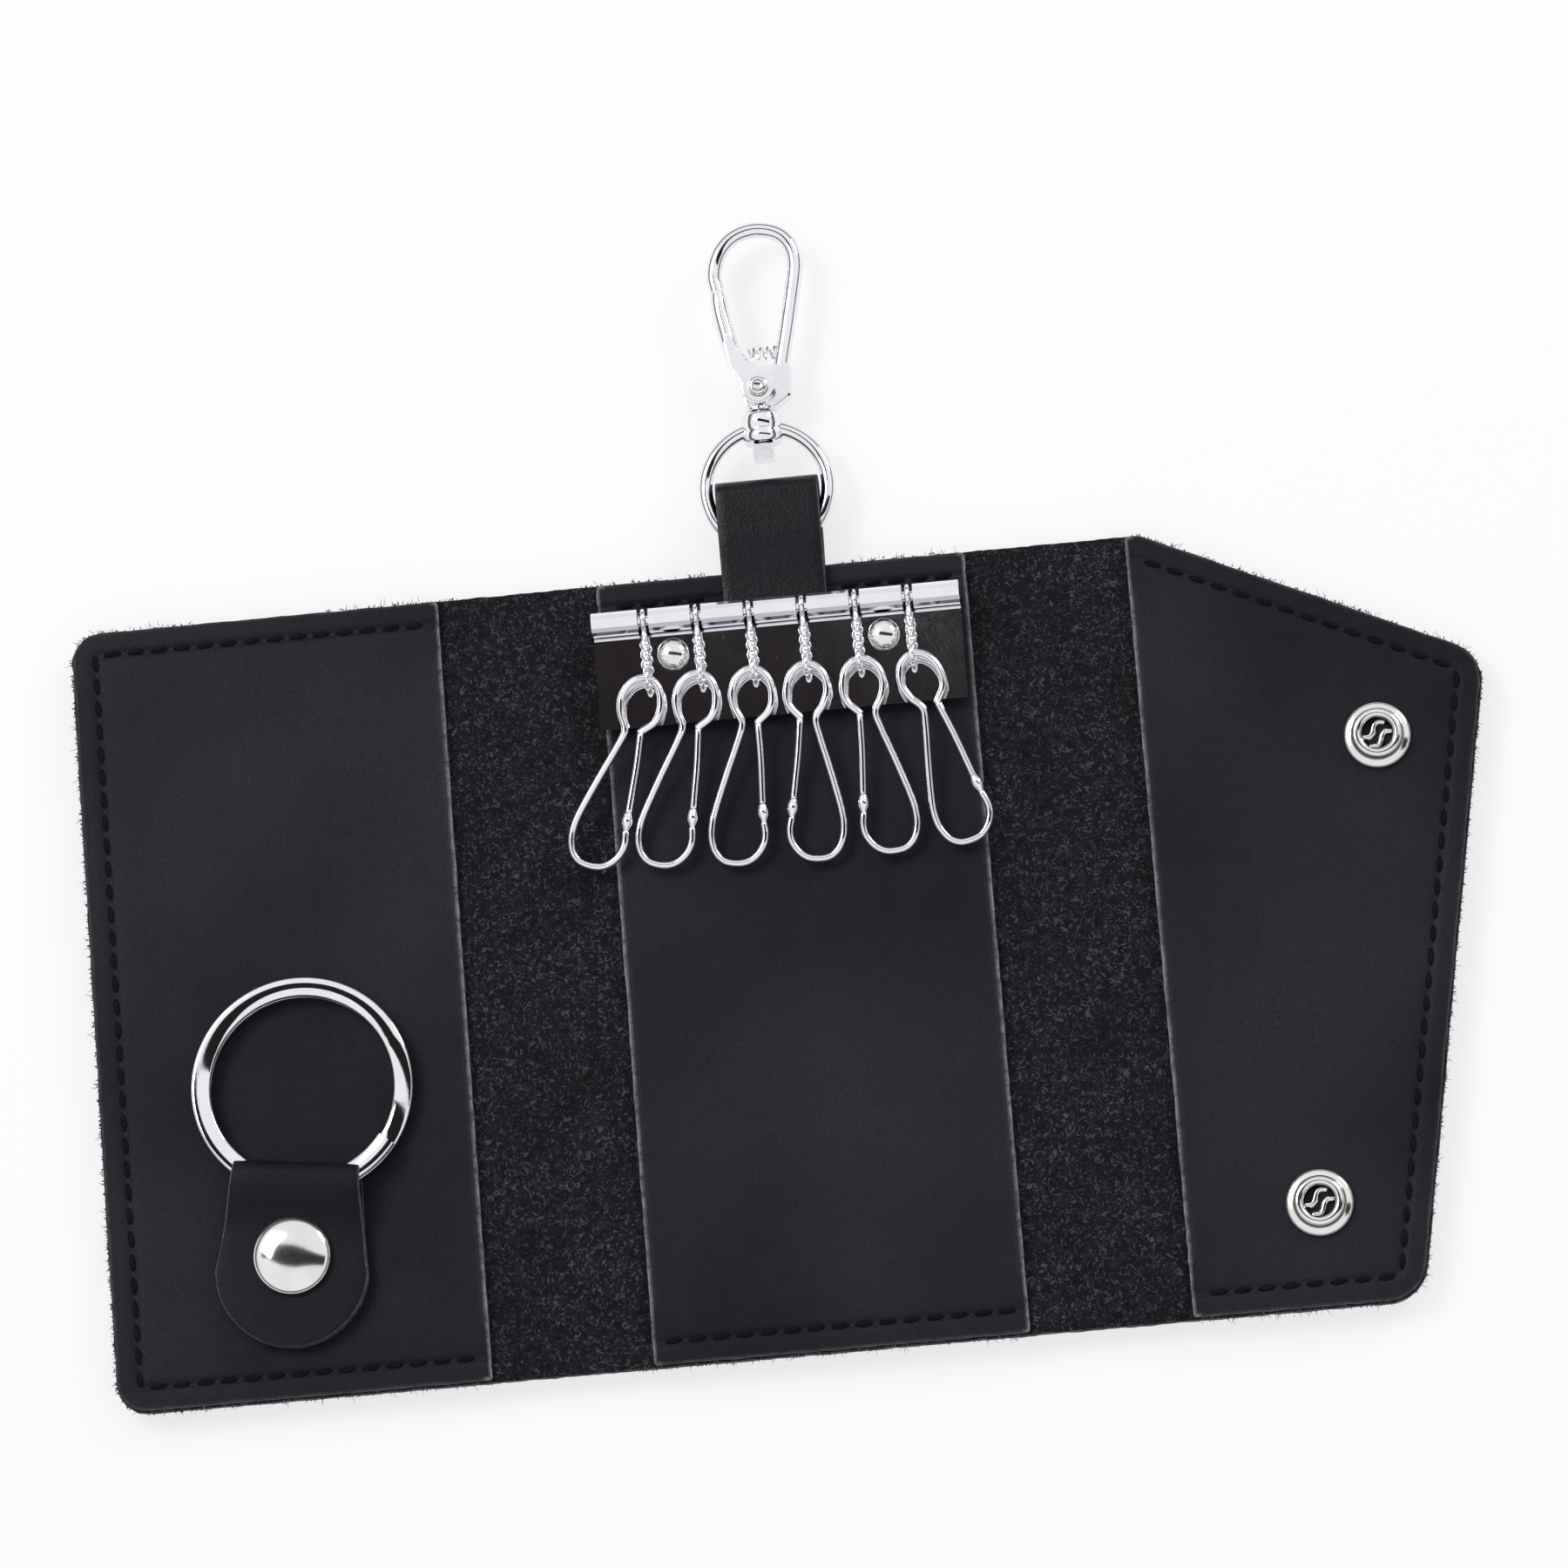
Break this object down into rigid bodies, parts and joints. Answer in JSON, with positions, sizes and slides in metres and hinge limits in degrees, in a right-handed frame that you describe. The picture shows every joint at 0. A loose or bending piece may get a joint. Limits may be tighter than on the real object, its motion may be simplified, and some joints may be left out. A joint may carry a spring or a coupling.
{
  "type": "key holder",
  "caption": "Leather key case that folds in three, with snap closure, hook rail, split ring on a tab and a swivel clasp on a strap",
  "frame": {"origin": "middle of the back panel's outer face, under the closed case's centre line", "axes": "+X from the front panel over the back panel to the flap, +Y toward the strap, +Z out of the inner side of the open case"},
  "size_m": [0.2035, 0.167, 0.0106],
  "materials": {
    "outer_leather": "black pebbled leather, rough flesh side inside",
    "lining_leather": "black smooth leather",
    "strap_leather": "black grained leather",
    "chrome": "polished chrome plating",
    "nickel": "polished nickel plating"
  },
  "bodies": {
    "back": {"back_cover": "outer_leather", "back_lining": "lining_leather", "strap_tail": "strap_leather", "hook_rail": "chrome", "rail_rod": "chrome", "rail_rivet_1": "nickel", "rail_rivet_2": "nickel"},
    "front_strip_a": {"front_fold_a": "outer_leather"},
    "front_strip_b": {"front_fold_b": "outer_leather"},
    "front": {"front_cover": "outer_leather", "front_lining": "lining_leather", "front_stud_1": "nickel", "front_stud_2": "nickel", "tab_cap": "nickel"},
    "tab": {"tab_base": "lining_leather"},
    "tab_end": {"tab_loop": "lining_leather"},
    "key_ring": {"split_ring": "chrome"},
    "flap_strip_a": {"flap_fold_a": "outer_leather"},
    "flap_strip_b": {"flap_fold_b": "outer_leather"},
    "flap": {"flap_cover": "outer_leather", "flap_lining": "lining_leather", "flap_socket_1": "nickel", "flap_socket_2": "nickel"},
    "strap": {"strap_loop": "strap_leather"},
    "ring": {"swivel_ring": "chrome"},
    "clasp": {"clasp_body": "chrome", "swivel_head": "chrome", "gate_pin": "chrome", "gate_spring": "chrome"},
    "gate": {"clasp_gate": "chrome"},
    "link_1": {"hook_link_1": "chrome"},
    "hook_1": {"key_hook_1": "chrome"},
    "latch_1": {"hook_latch_1": "chrome"},
    "link_2": {"hook_link_2": "chrome"},
    "hook_2": {"key_hook_2": "chrome"},
    "latch_2": {"hook_latch_2": "chrome"},
    "link_3": {"hook_link_3": "chrome"},
    "hook_3": {"key_hook_3": "chrome"},
    "latch_3": {"hook_latch_3": "chrome"},
    "link_4": {"hook_link_4": "chrome"},
    "hook_4": {"key_hook_4": "chrome"},
    "latch_4": {"hook_latch_4": "chrome"},
    "link_5": {"hook_link_5": "chrome"},
    "hook_5": {"key_hook_5": "chrome"},
    "latch_5": {"hook_latch_5": "chrome"},
    "link_6": {"hook_link_6": "chrome"},
    "hook_6": {"key_hook_6": "chrome"},
    "latch_6": {"hook_latch_6": "chrome"}
  },
  "joints": [
    {"name": "front_fold", "type": "hinge", "parent": "back", "child": "front_strip_a", "pos_m": [-0.03155, 0, 0.0007], "axis": [0, 1, 0], "range_deg": [0, 60]},
    {"name": "front_fold_b", "type": "hinge", "parent": "front_strip_a", "child": "front_strip_b", "pos_m": [-0.03755, 0, 0.0007], "axis": [0, 1, 0], "range_deg": [0, 60]},
    {"name": "front_fold_c", "type": "hinge", "parent": "front_strip_b", "child": "front", "pos_m": [-0.04356, 0, 0.0007], "axis": [0, 1, 0], "range_deg": [0, 60]},
    {"name": "flap_fold", "type": "hinge", "parent": "back", "child": "flap_strip_a", "pos_m": [0.02976, 0, 0.0007], "axis": [0, -1, 0], "range_deg": [0, 60]},
    {"name": "flap_fold_b", "type": "hinge", "parent": "flap_strip_a", "child": "flap_strip_b", "pos_m": [0.03934, 0, 0.0007], "axis": [0, -1, 0], "range_deg": [0, 60]},
    {"name": "flap_fold_c", "type": "hinge", "parent": "flap_strip_b", "child": "flap", "pos_m": [0.04893, 0, 0.0007], "axis": [0, -1, 0], "range_deg": [0, 60]},
    {"name": "tab_turn", "type": "hinge", "parent": "front", "child": "tab", "pos_m": [-0.07626, -0.0373, 0], "axis": [0, 0, 1], "range_deg": [-15, 15]},
    {"name": "tab_flex", "type": "hinge", "parent": "tab", "child": "tab_end", "pos_m": [-0.07534, -0.02986, 0.0045], "axis": [-0.9925, 0.1219, 0], "range_deg": [-50, 0]},
    {"name": "key_ring_turn", "type": "hinge", "parent": "tab_end", "child": "key_ring", "pos_m": [-0.07326, -0.01288, 0.00456], "axis": [0.005, 0.0408, 0.9992], "continuous": true},
    {"name": "strap_flex", "type": "hinge", "parent": "back", "child": "strap", "pos_m": [0, 0.058, 0.00285], "axis": [1, 0, 0], "range_deg": [-30, 75]},
    {"name": "ring_turn", "type": "hinge", "parent": "strap", "child": "ring", "pos_m": [0, 0.0695, 0.0026], "axis": [0, 0, 1], "range_deg": [-45, 45]},
    {"name": "clasp_swivel", "type": "hinge", "parent": "ring", "child": "clasp", "pos_m": [0, 0.0842, 0.0026], "axis": [0, 1, 0], "continuous": true},
    {"name": "gate_swing", "type": "hinge", "parent": "clasp", "child": "gate", "pos_m": [0, 0.0842, 0.0026], "axis": [0, 0, 1], "range_deg": [-28, 0], "stiffness_Nm_per_rad": 0.02, "springref_deg": 28.65, "deforming": ["gate_spring"]},
    {"name": "link_swing_1", "type": "hinge", "parent": "back", "child": "link_1", "pos_m": [-0.01918, 0.0505, 0.00615], "axis": [1, 0, 0], "range_deg": [-120, 0]},
    {"name": "hook_swing_1", "type": "hinge", "parent": "link_1", "child": "hook_1", "pos_m": [-0.01918, 0.04173, 0.00685], "axis": [1, 0, 0], "range_deg": [-60, 0]},
    {"name": "latch_swing_1", "type": "hinge", "parent": "hook_1", "child": "latch_1", "pos_m": [-0.02087, 0.03363, 0.00611], "axis": [-0.0317, -0.0849, 0.9959], "range_deg": [-12, 0], "stiffness_Nm_per_rad": 0.002, "springref_deg": 17.19},
    {"name": "link_swing_2", "type": "hinge", "parent": "back", "child": "link_2", "pos_m": [-0.0115, 0.0505, 0.00615], "axis": [1, 0, 0], "range_deg": [-120, 0]},
    {"name": "hook_swing_2", "type": "hinge", "parent": "link_2", "child": "hook_2", "pos_m": [-0.0115, 0.04173, 0.00685], "axis": [1, 0, 0], "range_deg": [-60, 0]},
    {"name": "latch_swing_2", "type": "hinge", "parent": "hook_2", "child": "latch_2", "pos_m": [-0.01248, 0.03352, 0.00611], "axis": [-0.0242, -0.0873, 0.9959], "range_deg": [-12, 0], "stiffness_Nm_per_rad": 0.002, "springref_deg": 17.19},
    {"name": "link_swing_3", "type": "hinge", "parent": "back", "child": "link_3", "pos_m": [-0.00383, 0.0505, 0.00615], "axis": [1, 0, 0], "range_deg": [-120, 0]},
    {"name": "hook_swing_3", "type": "hinge", "parent": "link_3", "child": "hook_3", "pos_m": [-0.00383, 0.04173, 0.00685], "axis": [1, 0, 0], "range_deg": [-60, 0]},
    {"name": "latch_swing_3", "type": "hinge", "parent": "hook_3", "child": "latch_3", "pos_m": [-0.00381, 0.03346, 0.00611], "axis": [-0.0134, -0.0896, 0.9959], "range_deg": [-12, 0], "stiffness_Nm_per_rad": 0.002, "springref_deg": 17.19},
    {"name": "link_swing_4", "type": "hinge", "parent": "back", "child": "link_4", "pos_m": [0.00383, 0.0505, 0.00615], "axis": [1, 0, 0], "range_deg": [-120, 0]},
    {"name": "hook_swing_4", "type": "hinge", "parent": "link_4", "child": "hook_4", "pos_m": [0.00383, 0.04173, 0.00685], "axis": [1, 0, 0], "range_deg": [-60, 0]},
    {"name": "latch_swing_4", "type": "hinge", "parent": "hook_4", "child": "latch_4", "pos_m": [0.00223, 0.03362, 0.00611], "axis": [0.004, 0.0905, -0.9959], "range_deg": [-12, 0], "stiffness_Nm_per_rad": 0.002, "springref_deg": 17.19},
    {"name": "link_swing_5", "type": "hinge", "parent": "back", "child": "link_5", "pos_m": [0.0115, 0.0505, 0.00615], "axis": [1, 0, 0], "range_deg": [-120, 0]},
    {"name": "hook_swing_5", "type": "hinge", "parent": "link_5", "child": "hook_5", "pos_m": [0.0115, 0.04173, 0.00685], "axis": [1, 0, 0], "range_deg": [-60, 0]},
    {"name": "latch_swing_5", "type": "hinge", "parent": "hook_5", "child": "latch_5", "pos_m": [0.0109, 0.03348, 0.00611], "axis": [-0.0071, 0.0904, -0.9959], "range_deg": [-12, 0], "stiffness_Nm_per_rad": 0.002, "springref_deg": 17.19},
    {"name": "link_swing_6", "type": "hinge", "parent": "back", "child": "link_6", "pos_m": [0.01918, 0.0505, 0.00615], "axis": [1, 0, 0], "range_deg": [-120, 0]},
    {"name": "hook_swing_6", "type": "hinge", "parent": "link_6", "child": "hook_6", "pos_m": [0.01918, 0.04173, 0.00685], "axis": [1, 0, 0], "range_deg": [-60, 0]},
    {"name": "latch_swing_6", "type": "hinge", "parent": "hook_6", "child": "latch_6", "pos_m": [0.02236, 0.0341, 0.00611], "axis": [0.0219, -0.0879, 0.9959], "range_deg": [-12, 0], "stiffness_Nm_per_rad": 0.002, "springref_deg": 17.19}
  ],
  "couplings": [
    {"joint": "front_fold_b", "follows": "front_fold", "ratio": 1},
    {"joint": "front_fold_c", "follows": "front_fold", "ratio": 1},
    {"joint": "flap_fold_b", "follows": "flap_fold", "ratio": 1},
    {"joint": "flap_fold_c", "follows": "flap_fold", "ratio": 1}
  ]
}
